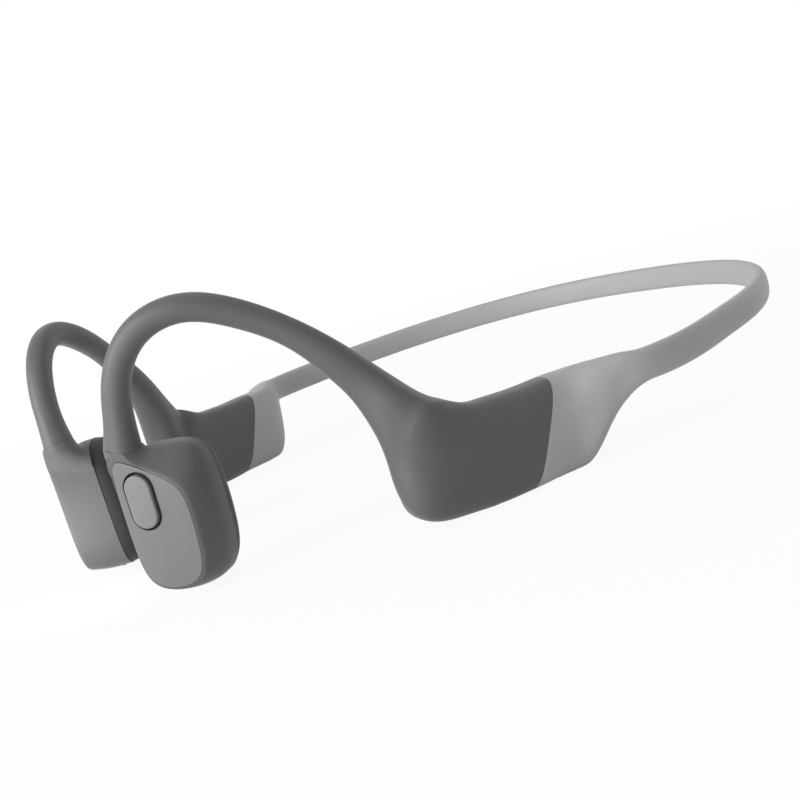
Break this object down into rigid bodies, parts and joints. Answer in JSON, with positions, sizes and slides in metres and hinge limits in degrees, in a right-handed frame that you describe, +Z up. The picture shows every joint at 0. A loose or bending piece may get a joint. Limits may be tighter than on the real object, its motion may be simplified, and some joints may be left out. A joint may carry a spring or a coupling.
{
  "type": "bone conduction headphones",
  "caption": "Behind-the-head sprung neckband with pods, ear hooks and slim rectangular transducers that rest on the cheekbones; raised pill-shaped button, magnetic charging socket.",
  "frame": {"origin": "bottom centre of the bounding box, on the plane the pods and transducers rest on", "axes": "+X the wearer's left, +Y to the back of the head (the rear arc of the neckband), +Z up"},
  "size_m": [0.1026, 0.1262, 0.0389],
  "materials": {
    "sleeve": "matte silicone",
    "dark_skin": "matte soft-touch silicone",
    "plate": "satin",
    "pad": "matte silicone",
    "spring_wire": "drawn nickel titanium",
    "cable": "enamelled and jacketed",
    "anchor": "moulded",
    "steel": "satin",
    "magnet": "nickel plated",
    "copper": "enamelled copper wire",
    "bracket": "moulded",
    "pouch": "laminated foil pouch",
    "board": "solder mask",
    "foam": "closed cell foam",
    "key": "satin",
    "gasket": "matte",
    "switch": "moulded",
    "port": "moulded",
    "gold": "gold plated",
    "lens": "frosted",
    "mesh": "woven"
  },
  "bodies": {
    "right_side": {"band_cable_right": "cable", "band_wire_right": "spring_wire", "charge_contact_front": "gold", "charge_contact_rear": "gold", "charge_magnet_front": "magnet", "charge_magnet_rear": "magnet", "charge_port": "port", "contact_pad_right": "pad", "driver_bracket_right": "bracket", "driver_magnet_right": "magnet", "driver_pole_plate_right": "steel", "driver_yoke_right": "steel", "ear_hook_right": "dark_skin", "face_plate_right": "plate", "hook_cable_right": "cable", "hook_wire_right": "spring_wire", "indicator_light_pipe": "lens", "leaf_spring_right": "steel", "main_board": "board", "microphone": "steel", "microphone_mesh": "mesh", "neckband_right": "sleeve", "pod_housing_right": "dark_skin", "radio_shield_can": "steel", "transducer_housing_right": "dark_skin", "voice_coil_right": "copper", "volume_down_switch": "switch", "volume_key_board": "board", "volume_up_switch": "switch", "wire_anchor_right": "anchor"},
    "left_side": {"band_cable_left": "cable", "band_wire_left": "spring_wire", "contact_pad_left": "pad", "driver_bracket_left": "bracket", "driver_magnet_left": "magnet", "driver_pole_plate_left": "steel", "driver_yoke_left": "steel", "ear_hook_left": "dark_skin", "face_plate_left": "plate", "hook_cable_left": "cable", "hook_wire_left": "spring_wire", "leaf_spring_left": "steel", "neckband_left": "sleeve", "pod_housing_left": "dark_skin", "transducer_housing_left": "dark_skin", "voice_coil_left": "copper", "wire_anchor_left": "anchor", "battery_cell": "pouch", "battery_board": "board", "battery_foam": "foam", "button_gasket": "gasket", "button_circuit": "board"},
    "multifunction_button": {"multifunction_button": "key"},
    "volume_up_button": {"volume_up_button": "dark_skin"},
    "volume_down_button": {"volume_down_button": "dark_skin"}
  },
  "joints": [
    {"name": "band_flex", "type": "hinge", "parent": "right_side", "child": "left_side", "pos_m": [0, 0.06306, 0.0109], "axis": [0, 0, 1], "range_deg": [-3, 22], "stiffness_Nm_per_rad": 0.35},
    {"name": "multifunction_press", "type": "slide", "parent": "left_side", "child": "multifunction_button", "axis": [-0.5519, 0.8339, 0], "range_m": [0, 0.0003], "stiffness_N_per_m": 400},
    {"name": "volume_up_press", "type": "slide", "parent": "right_side", "child": "volume_up_button", "axis": [0, 0, 1], "range_m": [0, 0.0003], "stiffness_N_per_m": 400},
    {"name": "volume_down_press", "type": "slide", "parent": "right_side", "child": "volume_down_button", "axis": [0, 0, 1], "range_m": [0, 0.0003], "stiffness_N_per_m": 400}
  ]
}
